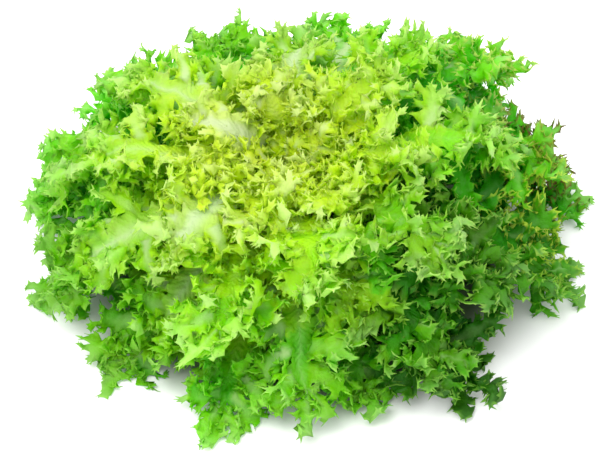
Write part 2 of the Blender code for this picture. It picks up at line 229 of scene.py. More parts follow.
# How leaves of each kind are cut: the lengths of a finger and a tooth, and a lobe's curl, ruffle and half
# widths at its neck and its end
Cut = namedtuple("Cut", "finger tooth curl ruffle neck body")
CUTS = {
    "outer_leaf": Cut(0.0068, 0.0028, (-75, 125), 0.0030, 0.0042, 0.0062),
    "spreading_leaf": Cut(0.0068, 0.0028, (-75, 125), 0.0030, 0.0040, 0.0060),
    "arching_leaf": Cut(0.0069, 0.0028, (-80, 130), 0.0027, 0.0038, 0.0058),
    "upper_leaf": Cut(0.0070, 0.0028, (-80, 130), 0.0024, 0.0036, 0.0054),
    "inner_leaf": Cut(0.0069, 0.0027, (-80, 130), 0.0022, 0.0032, 0.0048),
    "heart": Cut(0.0072, 0.0026, (-80, 130), 0.0020, 0.0030, 0.0048),
}

# A lobe: how uneven its widths and its ruffle are, its bend and cup, the length of one of its waves, how
# pale it is at random and at most, and how pale and how light from root to end
WIDTH_UNEVEN = (0.8, 1.3)
RUFFLE_UNEVEN = (0.7, 1.5)
LOBE_BEND = 30
LOBE_CUP = (-0.45, 0.60)
LOBE_WAVE = 0.010
LOBE_PALE = (0.25, 1.0)
MOST_PALE = 1.2
LOBE_VEIN = (0.8, 0.35)
LOBE_EDGE = (0.0, 0.45)

# Fingers down a lobe: how far they turn from it and lift, their size, and the first one's share of it
FINGER_TURN = (42, 68)
FINGER_LIFT = (-40, 50)
FINGER_SIZE = (0.65, 1.15)
FIRST_FINGER = 0.6

# Fingers at a lobe's end: how far they fan out, how much each strays, their lift and their size
FORK_FAN = 110
FORK_JITTER = 14
FORK_LIFT = (-55, 65)
FORK_SIZE = (0.55, 1.15)

# Slim lobes between the others: how far they turn from the rib and lift, how slim they are, their size
FRILL_TURN = (40, 95)
FRILL_LIFT = (10, 85)
FRILL_SLIM = 0.6
FRILL_SIZE = (0.55, 0.9)

# The three lobes at a leaf's end: how slim, how far the outer two turn away, their share of the middle
# one's length, and how far each strays and lifts
END_SLIM = 0.7
END_SPREAD = 34
END_SIDE = 0.85
END_JITTER = 10
END_LIFT = 35

# Uneven bends and bumps: how fine and how high the broad, coarse and small ones are, and how far apart
# sheets lie in their noise
BROAD_BENDS = (34, 0.0030)
COARSE_BUMPS = (90, 0.0024)
SMALL_BUMPS = (240, 0.0010)
NOISE_DRIFT = 9

# The distance over which broad bends grow from the crown outwards, and the share of it where they start.
# Bumps get less where a sheet is more than so many margins thick. Their strength on dark sides, as an
# addition, and in the heart.
FOOT_REACH = 0.04
FOOT_FIXED = 0.6
SOFT_THICKNESS = 1.6
DARK_CRUMPLE = 0.8
HEART_CRUMPLE = 0.7

# The heart: rings of leaflets that stand on the crown's top
Ring = namedtuple("Ring", "count turn radius rise length lean lobe lobes")
HEART_RINGS = (
    Ring(8, 75, 0.0095, 62, 0.068, 0.42, 0.0200, 4),
    Ring(6, 58, 0.0080, 70, 0.063, 0.25, 0.0190, 4),
    Ring(4, 20, 0.0055, 77, 0.056, 0.12, 0.0170, 4),
    Ring(2, 50, 0.0030, 83, 0.050, 0.02, 0.0150, 4),
)
HEART_SEED = 4100

# A leaflet: its turn, rise and length at random, how deep it stands in the crown, how much steeper its
# foot is, its end's fall, its sway, half widths of stalk and blade, and the height of its waves
LEAFLET_TURN = 9
LEAFLET_RISE = 4
LEAFLET_LENGTH = (0.85, 1.1)
LEAFLET_SINK = 0.001
LEAFLET_START = 6
LEAFLET_FALL = (10, 55)
LEAFLET_SWAY = 0.006
LEAFLET_HALVES = (0.0034, 0.0050)
LEAFLET_WAVE = 0.001

# Its lobes: their size, tilt and twist at random
LEAFLET_LOBE_SIZE = (0.8, 1.2)
LEAFLET_LOBE_TILT = 50
LEAFLET_LOBE_TWIST = 20

# Noise vectors start from the clock unless they are seeded
NOISE_SEED = 11

# Where the head is a deeper green, partly the leaves' own darker colour and partly painted shade: an
# azimuth and a width in degrees, and how deep. How deep it is all round, how much leaves differ at random,
# and each whorl's share
DARK_GREEN_AND_SHADED_SIDES = ((-35, 24, 0.80), (45, 25, 0.12), (200, 30, 0.18))
LEAST_DARK = 0.08
DARK_JITTER = 0.1
DARK_WHORLS = {
    "outer_leaf": 1.0,
    "spreading_leaf": 0.95,
    "arching_leaf": 0.7,
    "upper_leaf": 0.25,
    "inner_leaf": 0.0,
}

# How much less pale veins are where leaves are darkest, with their darker green and painted shade
DARK_VEIN = 0.5

# The middle of the yellow heart, seen from above
YELLOW_CENTRE = (-0.016, -0.030)

# Depth in the head is measured back from its surface, towards its middle, in cells of so many degrees
HEAD_MIDDLE = (0.0, -0.010, 0.020)
DEPTH_CELL = 10
DEPTH_RANGE = 0.050

# Leaves with a broad, smooth, pale blade and no slim lobes: its share of the solid's width, how pale it is,
# and how high it arches over the solid's rib
Broad = namedtuple("Broad", "web pale lift")
BROAD_LEAVES = {
    "inner_leaf_03": Broad(1.50, 1.1, 0.009),
    "upper_leaf_06": Broad(1.35, 1.0, 0.006),
    "upper_leaf_03": Broad(1.00, 1.0, 0.004),
    "arching_leaf_03": Broad(0.75, 1.0, 0.004),
    "arching_leaf_05": Broad(0.80, 1.0, 0.006),
    "upper_leaf_04": Broad(1.10, 0.65, 0.003),
    "arching_leaf_07": Broad(1.20, 0.75, 0.003),
    "spreading_leaf_08": Broad(0.85, 0.8, 0.003),
    "spreading_leaf_09": Broad(0.80, 0.4, 0.0),
    "upper_leaf_05": Broad(1.10, 0.5, 0.0),
    "upper_leaf_01": Broad(0.90, 0.25, 0.0),
}

# The floor: its half size, roughness, glow (painted light that lifts its shadows) and colours, and the
# painted shade beneath the head, which stands for the shade of leaves that aren't there: its middle, its
# reach, and the share of the reach that is darkest
FLOOR_HALF = 4.0
FLOOR_ROUGHNESS = 0.8
FLOOR_GLOW = 0.08
FLOOR_PALE = (0.9, 0.9, 0.9, 1)
FLOOR_PAINTED_SHADE = (0.10, 0.15, 0.07, 1)
PAINTED_SHADE_MIDDLE = (0.010, -0.005, 0)
PAINTED_SHADE_REACH = 0.150
PAINTED_SHADE_INNER = 0.72

# The room's own white light, and lamps with a name, a place, a size and a power, which face a target
WHITE = (1, 1, 1, 1)
BLACK = (0, 0, 0, 1)
ROOM_LIGHT = 1.48
LIGHTS = (("key", (-0.4, -0.45, 1.4), 0.8, 13), ("back", (0.2, 0.9, 1.2), 1.0, 5))
LIGHT_TARGET = (0, 0, 0.05)

# The camera: its elevation in degrees, its lens in millimetres, how far off it is, and what it faces
CAMERA_ELEVATION = 45
CAMERA_LENS = 100
CAMERA_DISTANCE = 1.030
CAMERA_TARGET = (0.006, 0.0, 0.0125)


def srgb(red, green, blue):
    """A colour as seen on screen, from 0 to 255, as the linear colour that shaders take."""
    return tuple(((part / 255 + 0.055) / 1.055) ** 2.4 for part in (red, green, blue)) + (1,)


# Leaf colours: near the heart, at its reach, on dark sides (partly painted shade), deep among leaves
# (painted shade, also in random patches), on ribs (also painted light at the head's surface) and at tooth
# edges, and the distances from the heart, as shares of the head's radius, where the first turns into the
# second
Dress = namedtuple("Dress", "near far shade deep rib edge start end")
DRESSES = {
    "outer_leaf": Dress(
        srgb(168, 238, 22), srgb(122, 224, 24), srgb(20, 106, 8), srgb(50, 200, 8), srgb(204, 236, 160),
        srgb(180, 236, 96), 0.50, 1.15,
    ),
    "spreading_leaf": Dress(
        srgb(184, 242, 22), srgb(132, 232, 22), srgb(22, 116, 8), srgb(60, 214, 8), srgb(210, 238, 168),
        srgb(190, 238, 104), 0.42, 1.10,
    ),
    "arching_leaf": Dress(
        srgb(202, 242, 24), srgb(150, 236, 22), srgb(30, 128, 8), srgb(80, 226, 8), srgb(218, 238, 180),
        srgb(202, 240, 112), 0.36, 1.00,
    ),
    "upper_leaf": Dress(
        srgb(214, 240, 44), srgb(168, 234, 36), srgb(60, 156, 8), srgb(132, 240, 8), srgb(224, 240, 192),
        srgb(212, 240, 124), 0.28, 0.90,
    ),
    "inner_leaf": Dress(
        srgb(224, 242, 62), srgb(192, 240, 50), srgb(120, 200, 8), srgb(198, 248, 8), srgb(230, 240, 196),
        srgb(220, 240, 134), 0.15, 0.75,
    ),
    "heart": Dress(
        srgb(230, 244, 72), srgb(218, 244, 60), srgb(150, 200, 8), srgb(228, 250, 8), srgb(232, 242, 198),
        srgb(226, 242, 138), 0.0, 0.6,
    ),
}
# The painted shade colour deep in the heart, also used in its random patches
HEART_PATCH_AND_SHADE_GREEN = srgb(226, 252, 6)

# Leaf skin: the scales of its patches, flecks, folds and swaying lines, the folds' detail, and how far the
# lines sway in radians
PATCH_SCALE = 40
FLECK_SCALE = 110
FOLD_SCALE = 170
SWAY_SCALE = 60
FOLD_DETAIL = 4.0
LINE_SWAY = 10.0

# The strength and height of its lines and folds, how rough and glossy it is, and the light it lets through
LINE_BUMP = (0.3, 0.0006)
FOLD_BUMP = (0.9, 0.0016)
SKIN_ROUGHNESS = 0.38
SKIN_GLOSS = 0.25
LIGHT_THROUGH = 0.58

# Where on the scale of what it reads a colour starts and stops to turn, and how far it has turned there, if
# not from none to all
HEART_EDGE = (0.25, 0.65)
PATCH_TURN = (0.45, 0.75, 0, 0.35)
# By depth in the head: painted shade deep among the leaves, and painted light, paler, at the head's surface
PAINTED_SHADE_TURN = (0.2, 0.9, 0, 0.9)
PAINTED_LIGHT_TURN = (0.0, 0.32, 0.58, 0.0)
FLECK_TURN = (0.52, 0.8, 0, 0.35)
EDGE_TURN = (0.32, 1.0, 0, 0.48)
VEIN_TURN = (0.1, 1.0)
MARKED_EDGE = (0.3, 0.8)

# The cut stem: its colours, the scales of its patches and grain, and how the grain stands out
STEM_PALE = srgb(226, 218, 176)
STEM_BROWN = srgb(196, 172, 112)
STEM_PATCH_SCALE = 260
STEM_PATCH_TURN = (0.4, 0.7)
STEM_GRAIN_SCALE = 600
STEM_BUMP = (0.5, 0.0006)
STEM_ROUGHNESS = 0.6

# Where tooth edges are pale, yellow and brown: a place, how far round it, how strongly, and the colour
Mark = namedtuple("Mark", "place reach strength colour")
MARKS = (
    Mark((0.125, 0.068, 0.075), 0.075, 0.65, srgb(222, 232, 124)),
    Mark((0.142, -0.020, 0.052), 0.070, 0.62, srgb(218, 230, 74)),
    Mark((0.162, 0.030, 0.050), 0.060, 0.90, srgb(116, 78, 38)),
)


# The rule of the ribs


def crown_radius(z):
    if z < CROWN_WAIST_Z:
        share = (CROWN_WAIST_Z - z) / CROWN_WAIST_Z
        return CROWN_RADIUS - (CROWN_RADIUS - CUT_RADIUS) * share**2
    share = (z - CROWN_WAIST_Z) / CROWN_RISE
    return CROWN_RADIUS * math.sqrt(1 - share**2)


def crown_normal(z):
    step = 0.0005
    slope = (crown_radius(z + step) - crown_radius(z - step)) / (2 * step)
    return Vector((1, -slope)).normalized()


def slope(degrees):
    """A step outwards and up, one metre long."""
    turn = math.radians(degrees)
    return Vector((math.cos(turn), math.sin(turn)))


def seat_point(whorl):
    normal = crown_normal(whorl.seat)
    along = slope(whorl.rise)
    stand_off = PIECE_GAP + 0.5 * RIB_THICKNESS * abs(Vector((-along.y, along.x)).dot(normal))
    return Vector((crown_radius(whorl.seat), whorl.seat)) + normal * stand_off


def with_humps(value, azimuth, humps):
    """A value with humps round the head: a middle and a width in degrees, and a height."""
    for middle, width, height in humps:
        away = (math.degrees(azimuth) - middle + 180) % 360 - 180
        value += height * math.exp(-((away / width) ** 2))
    return value


def reach_round_head(azimuth):
    return with_humps(1 + REACH_LEAN * math.cos(azimuth), azimuth, BUMPS)


def lift_round_head(azimuth):
    return 1 + LIFT * math.cos(azimuth - math.radians(LIFT_AZIMUTH))


def lean_at(height):
    share = max(0.0, height - CROWN_TOP_Z) / (HEAD_HEIGHT - CROWN_TOP_Z)
    return Vector((0, -HEAD_LEAN * share**LEAN_POWER, 0))


def cubic(points, t):
    a, b, c, d = points
    s = 1 - t
    return a * s**3 + b * 3 * s * s * t + c * 3 * s * t * t + d * t**3


def rib_handles(start, end, rise, fall):
    chord = (end - start).length
    leaving, arriving = slope(rise) * (RIB_LEAVING * chord), slope(-fall) * (RIB_ARRIVING * chord)
    return start, start + leaving, end - arriving, end


# A place on a leaf and its axes there: along it, sideways, and up off its upper face
Spot = namedtuple("Spot", "at along side up")


class Rib:
    """A leaf's rib as a curve, and the spot at any share of it."""

    def __init__(self, handles, azimuth, sway):
        self.handles = handles
        self.sway = sway
        self.outward = Vector((math.cos(azimuth), math.sin(azimuth), 0))
        self.sideways = Vector((-math.sin(azimuth), math.cos(azimuth), 0))

    def place(self, t):
        flat = cubic(self.handles, t)
        level = self.outward * flat.x + self.sideways * (self.sway * t * t)
        return level + Vector((0, 0, flat.y)) + lean_at(flat.y)

    def spot(self, share):
        step = 0.01
        along = (self.place(share + step) - self.place(share - step)).normalized()
        across = (self.sideways - along * self.sideways.dot(along)).normalized()
        return Spot(self.place(share), along, across, along.cross(across))


def past_stalk(share):
    return (share - BLADE_START) / (1 - BLADE_START)


def half_width(share, half_stalk, half_blade):
    if share < BLADE_START:
        return half_stalk * (1 - (1 - STALK_TAPER) * share / BLADE_START)
    along = past_stalk(share)
    lance = half_blade * math.sin(math.pi * along) ** LANCE_POWER
    return half_stalk * STALK_TAPER * (1 - RIB_TAPER * along) + lance


def row_share(row, lobes):
    """The share of the rib at a row of the rule, or between rows: two rows to the stalk's end."""
    if row < 2:
        return BLADE_START * row / 2
    return BLADE_START + (BLADE_END - BLADE_START) * (row - 2) / lobes


# The lobes that the solid has


def off_floor(point):
    return Vector((point.x, point.y, max(point.z, FLOOR_CLEARANCE)))


def direction(spot, angle, tilt):
    turn, rise = math.radians(angle), math.radians(tilt)
    level = spot.along * math.cos(turn) + spot.side * math.sin(turn)
    return level * math.cos(rise) + spot.up * math.sin(rise)


def lobe_angle(share):
    return LOBE_FIRST_ANGLE + (LOBE_LAST_ANGLE - LOBE_FIRST_ANGLE) * past_stalk(share)


def lobe_points(near, far, spot, share, side, length, tilt, twist):
    angle = lobe_angle(share)
    ahead = direction(spot, side * (angle + LOBE_SLANT), tilt - twist)
    back = direction(spot, side * (angle - LOBE_SLANT), tilt + twist)
    far_tooth = far + ahead * length
    near_tooth = near + back * (NEAR_TOOTH * length)
    notch = (near + far) / 2 + (ahead + back) * (0.5 * LOBE_NOTCH * length)
    return off_floor(near_tooth), off_floor(notch), off_floor(far_tooth)


def lobe_length(share, lobe):
    swell = math.sin(math.pi * (LOBE_SWELL[0] + LOBE_SWELL[1] * past_stalk(share)))
    return lobe * (0.5 + 0.5 * swell)


Lobe = namedtuple("Lobe", "row side angle tilt twist length")


class Solid:
    """The plain solid of a leaf, asked whether it has corners at given places."""

    def __init__(self, name):
        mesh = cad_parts[name].data
        self.tree = KDTree(len(mesh.vertices))
        for i, vertex in enumerate(mesh.vertices):
            self.tree.insert(vertex.co, i)
        self.tree.balance()

    def has(self, points):
        return all(self.tree.find(point)[2] < CORNER_MATCH for point in points)


def margin(rib, row, whorl, side):
    """A point of the narrow blade's margin by the rule, on the side -1 or 1."""
    share = row_share(row, whorl.lobes)
    spot = rib.spot(share)
    half = half_width(share, whorl.half_stalk, whorl.half_blade)
    wave = LEAF_WAVE * share * math.sin(WAVE_TURN * row)
    return spot.at + spot.side * (side * half) + spot.up * (MARGIN_LIFT * half - side * wave)


def tip_on(solid, rib, whorl, rng):
    """The length and droop of the leaf's end, as the first try of the rule that the solid shows."""
    last = rib.spot(row_share(whorl.lobes + 2, whorl.lobes))
    for attempt in range(LOBE_TRIES):
        length = TIP_LENGTH * whorl.lobe * LOBE_SHRINK**attempt
        droop = rng.uniform(*TIP_DROOP)
        rim = []
        for degrees, share in TIP_POINTS:
            lift = last.up * (droop * share + TIP_WAVE * math.cos(math.radians(TIP_WAVES * degrees)))
            rim.append(off_floor(last.at + (direction(last, degrees, 0) * share + lift) * length))
        if solid.has(rim):
            return length, droop
    return None


def lobe_on(solid, rib, whorl, index, side, rng):
    """One lobe's place and size, as the first try of the rule that the solid shows, or None."""
    row = index + 2
    share = row_share(row, whorl.lobes)
    near, far = (off_floor(margin(rib, r, whorl, side)) for r in (row, row + 1))
    lean = side if index % 2 else -side
    for attempt in range(LOBE_TRIES):
        way = lean if attempt % 2 == 0 else -lean
        tilt = way * LOBE_TILT * rng.uniform(*TILT_UNEVEN)
        twist = rng.uniform(-LOBE_TWIST, LOBE_TWIST)
        length = lobe_length(share, whorl.lobe) * rng.uniform(*LENGTH_UNEVEN) * LOBE_SHRINK**attempt
        teeth = lobe_points(near, far, rib.spot(share), share, side, length, tilt, twist)
        if solid.has((teeth[0], teeth[2])):
            return Lobe(row, side, lobe_angle(share), tilt, twist, length)
    return None


# Sheets that grow


class Sheet:
    """A leaf's surface as it grows: points, what the material reads there, thickness, and faces."""

    def __init__(self, seed):
        self.points, self.faces, self.thickness = [], [], []
        self.vein, self.edge, self.across = [], [], []
        self.shade = 0.0
        self.rng = random.Random(seed)
        self.web = self.rng.uniform(*BLADE_SHARE)
        self.pale, self.lift, self.reach = 0.0, 0.0, LOBE_REACH
        self.drift = Vector([self.rng.uniform(-NOISE_DRIFT, NOISE_DRIFT) for _ in range(3)])

    def add(self, point, vein, edge, thickness, across=0.0):
        self.points.append(point)
        self.vein.append(vein)
        self.edge.append(edge)
        self.across.append(across)
        self.thickness.append(thickness)
        return len(self.points) - 1

    def add_grid(self, rows):
        for row, after in zip(rows, rows[1:]):
            for j in range(len(row) - 1):
                self.faces.append((row[j], after[j], after[j + 1], row[j + 1]))

    def middle(self, indices):
        return sum((self.points[i] for i in indices), Vector()) / len(indices)


def swung(first, second, degrees):
    """Two axes swung in their plane, the first towards the second."""
    c, s = math.cos(math.radians(degrees)), math.sin(math.radians(degrees))
    return first * c + second * s, second * c - first * s


def turned(spot, yaw=0.0, pitch=0.0, roll=0.0):
    """A spot turned in its own plane towards its side, then lifted, then rolled, all in degrees."""
    at, along, side, up = spot
    along, side = swung(along, side, yaw)
    along, up = swung(along, up, pitch)
    side, up = swung(side, up, roll)
    return Spot(at, along, side, up)


def moved(spot, distance):
    return spot._replace(at=spot.at + spot.along * distance)


def ribbon_half(ribbon, v):
    if v < 0.5:
        blend = math.sin(math.pi * v)
        return ribbon.root + (ribbon.middle - ribbon.root) * blend
    blend = 1 - math.cos(math.pi * (v - 0.5))
    return ribbon.middle + (ribbon.end - ribbon.middle) * blend


def between(ends, v):
    return ends[0] + (ends[1] - ends[0]) * v


def ribbon_point(sheet, spot, ribbon, phase, u, v, vein, edge):
    """One point of a ribbon, at u across it from -1 to 1 and v along it from 0 to 1."""
    half = ribbon_half(ribbon, v)
    turn = phase + (EDGE_LAG if u > 0 else 0) + ribbon.waves * WAVE_CYCLE * v
    lift = ribbon.cup * half * u * u + ribbon.ruffle * abs(u) ** RUFFLE_POWER * math.sin(turn)
    point = spot.at + spot.side * (half * u) + spot.up * lift
    veined = between(vein, v) * max(0.0, 1 - u * u)
    edged = between(edge, v) * between((MIDDLE_EDGE, 1), abs(u))
    return sheet.add(point, veined, edged, between((MARGIN_THICKNESS, LOBE_VEIN_THICKNESS), veined))


def grow_ribbon(sheet, root, spot, ribbon, vein, edge):
    """Rows of points out from a root row. vein and edge give the values at its root and at its end."""
    rows, spots = [root], [spot]
    phase = sheet.rng.uniform(0, WAVE_CYCLE)
    columns = len(root) - 1
    before = 0.0
    for v in ribbon.shares:
        share = v - before
        before = v
        spot = turned(spot, ribbon.bend * share, ribbon.curl * share, ribbon.roll * share)
        spot = moved(spot, ribbon.length * share)
        across = [2 * j / columns - 1 for j in range(columns + 1)]
        rows.append([ribbon_point(sheet, spot, ribbon, phase, u, v, vein, edge) for u in across])
        spots.append(spot)
    sheet.add_grid(rows)
    return rows, spots


def grow_tooth(sheet, first, second, along, length):
    """A pointed tooth on the edge from first to second."""
    a, b = sheet.points[first], sheet.points[second]
    tip = (a + b) / 2 + along * length
    made = sheet.add(tip, 0, 1, TOOTH_THICKNESS)
    sheet.faces.append((first, made, second))


def side_edge(rows, side, first, last):
    """The margin from one row to another, as a root in the order that keeps all faces alike."""
    column = -1 if side > 0 else 0
    chain = [rows[i][column] for i in range(first, last + 1)]
    return chain[::-1] if side > 0 else chain


def root_spot(sheet, root, spot, yaw, pitch=0.0):
    """A spot moved to the middle of a root, turned and lifted."""
    return turned(spot._replace(at=sheet.middle(root)), yaw, pitch)


def root_half(sheet, root):
    return (sheet.points[root[0]] - sheet.points[root[-1]]).length / 2


def finger_shares(length):
    """Where a finger's rows lie: two close together for each pair of teeth, and its end."""
    teeth = max(1, round(length / TOOTH_SPACING) - 1)
    shares = []
    for i in range(teeth):
        at = (i + FIRST_TOOTH) / (teeth + TOOTH_ROOM)
        shares += [at, at + TOOTH_BASE / length]
    return shares + [1.0]


def grow_finger(sheet, root, spot, length, tooth):
    """A narrow, pointed part with thin teeth down both sides and at its end."""
    rng = sheet.rng
    width = root_half(sheet, root)
    ribbon = Ribbon(
        length=length,
        shares=finger_shares(length),
        root=width,
        middle=min(width, FINGER_MIDDLE) * rng.uniform(*FINGER_UNEVEN),
        end=FINGER_END,
        curl=rng.uniform(*FINGER_CURL),
        bend=rng.uniform(-FINGER_BEND, FINGER_BEND),
        roll=rng.uniform(-FINGER_ROLL, FINGER_ROLL),
        cup=rng.uniform(*FINGER_CUP),
        ruffle=FINGER_RUFFLE,
        waves=FINGER_WAVES,
    )
    rows, spots = grow_ribbon(sheet, root, spot, ribbon, FINGER_VEIN, FINGER_EDGE)
    for first in range(1, len(rows) - 2, 2):
        for side in (-1, 1):
            way = turned(spots[first], side * rng.uniform(*TOOTH_TURN), rng.uniform(*TOOTH_LIFT)).along
            edge = side_edge(rows, side, first, first + 1)
            grow_tooth(sheet, *edge, way, tooth * rng.uniform(*TOOTH_SIZE))
    row, spot = rows[-1], spots[-1]
    for j, turn in enumerate((-END_TOOTH_TURN, END_TOOTH_TURN)):
        turn += rng.uniform(-END_TOOTH_JITTER, END_TOOTH_JITTER)
        way = turned(spot, turn, rng.uniform(*END_TOOTH_LIFT)).along
        grow_tooth(sheet, row[j], row[j + 1], way, tooth * rng.uniform(*END_TOOTH_SIZE))


def lobe_ribbon(rng, root, length, rows_count, roll, cut):
    """A web that narrows to a neck and widens again."""
    curl = rng.uniform(*cut.curl)
    return Ribbon(
        length=length,
        shares=[(i + 1) / rows_count for i in range(rows_count)],
        root=root,
        middle=cut.neck * rng.uniform(*WIDTH_UNEVEN),
        end=cut.body * rng.uniform(*WIDTH_UNEVEN),
        curl=curl,
        bend=rng.uniform(-LOBE_BEND, LOBE_BEND),
        roll=roll,
        cup=rng.uniform(*LOBE_CUP),
        ruffle=cut.ruffle * rng.uniform(*RUFFLE_UNEVEN),
        waves=length / LOBE_WAVE,
    )


def grow_lobe(sheet, root, spot, length, roll, cut, pale=1.0):
    """A lobe: a web with fingers down both sides and at its end."""
    rng = sheet.rng
    body = length - cut.finger
    rows_count = max(4, round(body / LOBE_ROW))
    ribbon = lobe_ribbon(rng, root_half(sheet, root), body, rows_count, roll, cut)
    start = turned(spot, pitch=-0.5 * ribbon.curl)
    pale = min(MOST_PALE, pale * rng.uniform(*LOBE_PALE))
    vein = [share * pale for share in LOBE_VEIN]
    rows, spots = grow_ribbon(sheet, root, start, ribbon, vein, LOBE_EDGE)
    for side in (-1, 1):
        first = rng.choice((0, 1))
        while first + 2 <= rows_count:
            edge = side_edge(rows, side, first, first + 2)
            at = root_spot(sheet, edge, spots[first + 1], side * rng.uniform(*FINGER_TURN))
            size = cut.finger * rng.uniform(*FINGER_SIZE)
            size *= FIRST_FINGER + (1 - FIRST_FINGER) * first / rows_count
            grow_finger(sheet, edge, turned(at, pitch=rng.uniform(*FINGER_LIFT)), size, cut.tooth)
            first += 2 + rng.choice((0, 1))
    grow_fork(sheet, rows[-1], spots[-1], cut)


def grow_fork(sheet, row, spot, cut):
    """The end of a lobe, as fingers side by side."""
    rng = sheet.rng
    count = len(row) - 1
    for first in range(0, count, 2):
        root = row[first : first + 3]
        turn = FORK_FAN * ((first + 1) / count - 0.5) + rng.uniform(-FORK_JITTER, FORK_JITTER)
        at = root_spot(sheet, root, spot, turn, rng.uniform(*FORK_LIFT))
        grow_finger(sheet, root, at, cut.finger * rng.uniform(*FORK_SIZE), cut.tooth)


# Whole leaves


def fine_half(sheet, share, whorl):
    """Half the fine blade's width: uneven, and narrower than the solid's."""
    place = sheet.drift + Vector((0, 0, BLADE_WAVES * share))
    uneven = 1 + BLADE_UNEVEN * noise.noise(place) * min(1, 3 * share)
    return half_width(share, whorl.half_stalk, sheet.web * whorl.half_blade) * uneven


def line_phase(aside, row, stalk):
    """Where among the fine lines a point is: lengthwise on the stalk, slanting veins on the blade."""
    if stalk > 0:
        return STALK_LINES * aside
    return VEIN_LINES * (abs(aside) - VEIN_SLANT * row)


def band_vein(sheet, u, share, stalk):
    """How pale the band is: on its stalk and its rib, and on the whole of a pale blade."""
    rib = max(0.0, 1 - abs(u) ** RIB_PALE_POWER) * (RIB_PALE - RIB_PALE_LOSS * share)
    on_rib = BLADE_RIB_PALE * math.exp(-((u / BLADE_RIB_WIDTH) ** 2))
    blade = sheet.pale * (BLADE_PALE + on_rib - BLADE_PALE_LOSS * abs(u))
    return min(1, max(STALK_PALE * stalk, rib, blade))


def band_thickness(u, share, stalk):
    """The band's thickness: the rib's in the middle, and a thin margin's beside it."""
    ribbed = max(LEAST_RIB, 1 - RIB_THINNING * share)
    profile = max(0.0, 1 - (abs(u) / (RIB_SHARE + STALK_SHARE * stalk)) ** 2)
    return MARGIN_THICKNESS + (FINE_RIB_THICKNESS * ribbed - MARGIN_THICKNESS) * profile


def grow_band(sheet, rib, whorl, rows_between, lift):
    """The stalk, rib and narrow blade, as rows of points from the stalk's foot to the blade's end."""
    rows, spots = [], []
    for row in rows_between:
        share = row_share(row, whorl.lobes)
        spot = rib.spot(share)
        spot = spot._replace(at=spot.at + spot.up * (sheet.lift * math.sin(math.pi * share)))
        half = fine_half(sheet, share, whorl)
        wave = lift * share * math.sin(WAVE_TURN * row)
        stalk = max(0.0, 1 - share / BLADE_START)
        made = []
        for u in BAND_COLUMNS:
            rise = MARGIN_LIFT * half * u * u - u * abs(u) * wave
            rise += sheet.pale * RIPPLE * abs(u) * math.sin(RIPPLE_TURN * row + RIPPLE_LAG * u)
            point = spot.at + spot.side * (half * u) + spot.up * rise
            vein = band_vein(sheet, u, share, stalk)
            edge = BAND_EDGE * abs(u) * (1 - stalk)
            lines = line_phase(half * u, row, stalk)
            made.append(sheet.add(point, vein, edge, band_thickness(u, share, stalk), lines))
        rows.append(made)
        spots.append(spot)
    sheet.add_grid(rows)
    return rows, spots


def soften_floor(z):
    """Heights near the surface are eased up, so that lobes lie on it and don't sink in."""
    above = z - LOWEST_Z
    return LOWEST_Z + 0.5 * (above + math.sqrt(above * above + FLOOR_SOFTNESS**2))


def bump(sheet, point, bumps):
    fineness, height = bumps
    return noise.noise_vector(point * fineness + sheet.drift) * height


def crumple(sheet, strength):
    """Uneven bends and bumps all over a sheet, except that stalk feet stay put and thick ribs smooth."""
    for i, point in enumerate(sheet.points):
        away = min(1.0, max(0.0, math.hypot(point.x, point.y) / FOOT_REACH - FOOT_FIXED))
        soft = min(1.0, MARGIN_THICKNESS * SOFT_THICKNESS / sheet.thickness[i])
        small = bump(sheet, point, COARSE_BUMPS) + bump(sheet, point, SMALL_BUMPS)
        bent = point + bump(sheet, point, BROAD_BENDS) * away + small * soft * strength
        bent.z = soften_floor(bent.z)
        sheet.points[i] = bent


def cell_and_distance(point):
    """The cell of directions from the head's middle that a point lies in, and how far out it is."""
    away = point - Vector(HEAD_MIDDLE)
    level = math.hypot(away.x, away.y)
    turn = math.degrees(math.atan2(away.y, away.x))
    rise = math.degrees(math.atan2(away.z, level))
    return (round(turn / DEPTH_CELL), round(rise / DEPTH_CELL)), away.length


def reach_of(sheets):
    """How far the leaves reach from the head's middle in each cell of directions."""
    reach = {}
    for sheet in sheets:
        for point in sheet.points:
            cell, distance = cell_and_distance(point)
            reach[cell] = max(reach.get(cell, 0.0), distance)
    return reach


def depths(sheet, reach):
    """How deep in the head each point lies, from 0 at its surface to 1."""
    found = []
    for point in sheet.points:
        cell, distance = cell_and_distance(point)
        found.append(min(1.0, (reach[cell] - distance) / DEPTH_RANGE))
    return found


def new_object(name, data):
    made = bpy.data.objects.new(name, data)
    bpy.context.scene.collection.objects.link(made)
    return made


def leaf_object(name, sheet, material, reach):
    """The sheet as an object with its own thickness everywhere."""
    mesh = bpy.data.meshes.new(name)
    mesh.from_pydata(sheet.points, [], sheet.faces)
    mesh.shade_smooth()
    x, y = YELLOW_CENTRE
    values_of = {
        "vein": [value * (1 - DARK_VEIN * sheet.shade) for value in sheet.vein],
        "edge": sheet.edge,
        "outward": [math.hypot(point.x - x, point.y - y) / HEAD_RADIUS for point in sheet.points],
        "shade": [sheet.shade] * len(sheet.points),
        "across": sheet.across,
        "depth": depths(sheet, reach),
    }
    for key, values in values_of.items():
        mesh.attributes.new(key, "FLOAT", "POINT").data.foreach_set("value", values)
    mesh.materials.append(material)
    made = new_object(name, mesh)
    group = made.vertex_groups.new(name="thickness")
    for i, thickness in enumerate(sheet.thickness):
        group.add([i], thickness / FINE_RIB_THICKNESS, "REPLACE")
    solid = made.modifiers.new("thickness", "SOLIDIFY")
    solid.thickness = FINE_RIB_THICKNESS
    solid.offset = 0
    solid.vertex_group = "thickness"
    return made


